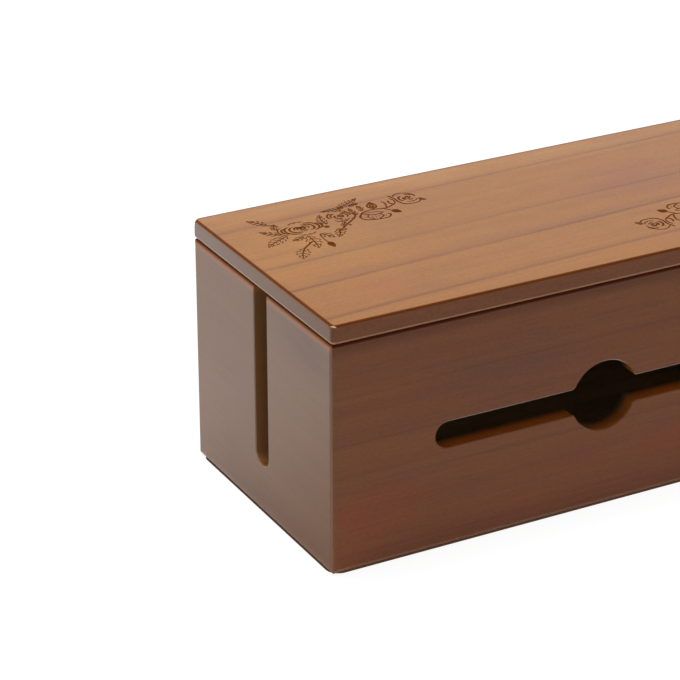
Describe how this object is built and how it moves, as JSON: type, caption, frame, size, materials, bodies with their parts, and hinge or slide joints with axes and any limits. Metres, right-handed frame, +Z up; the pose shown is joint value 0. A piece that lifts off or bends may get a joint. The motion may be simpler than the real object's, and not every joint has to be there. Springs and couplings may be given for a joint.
{
  "type": "cable management box",
  "caption": "Oblong stained-wood box with mitred corners, a lift-off lid, a cable slot through a round hole in the front and a top-open slot in each end.",
  "frame": {"origin": "centre of the box's footprint, on the surface that its feet stand on", "axes": "+X along the length to the right, +Y from the front wall with the long slot to the back wall, +Z up"},
  "size_m": [0.3, 0.145, 0.13],
  "materials": {
    "lid_wood": "stained and satin lacquered",
    "wall_wood": "stained and satin lacquered",
    "strip_wood": "planed, unfinished",
    "bottom_wood": "planed, thinly sealed",
    "screw_steel": "zinc plated",
    "foot_rubber": "matte"
  },
  "bodies": {
    "box": {"front_panel": "wall_wood", "back_panel": "wall_wood", "left_end_panel": "wall_wood", "right_end_panel": "wall_wood", "bottom_panel": "bottom_wood", "corner_block_front_left": "strip_wood", "corner_block_front_right": "strip_wood", "corner_block_back_left": "strip_wood", "corner_block_back_right": "strip_wood", "bottom_screws": "screw_steel", "foot_front_left": "foot_rubber", "foot_front_right": "foot_rubber", "foot_back_left": "foot_rubber", "foot_back_right": "foot_rubber"},
    "lid": {"lid_board": "lid_wood", "strip_front": "strip_wood", "strip_back": "strip_wood", "strip_screws": "screw_steel"}
  },
  "joints": [
    {"name": "lid_lift", "type": "slide", "parent": "box", "child": "lid", "axis": [0, 0, 1], "range_m": [0, 0.12]}
  ]
}
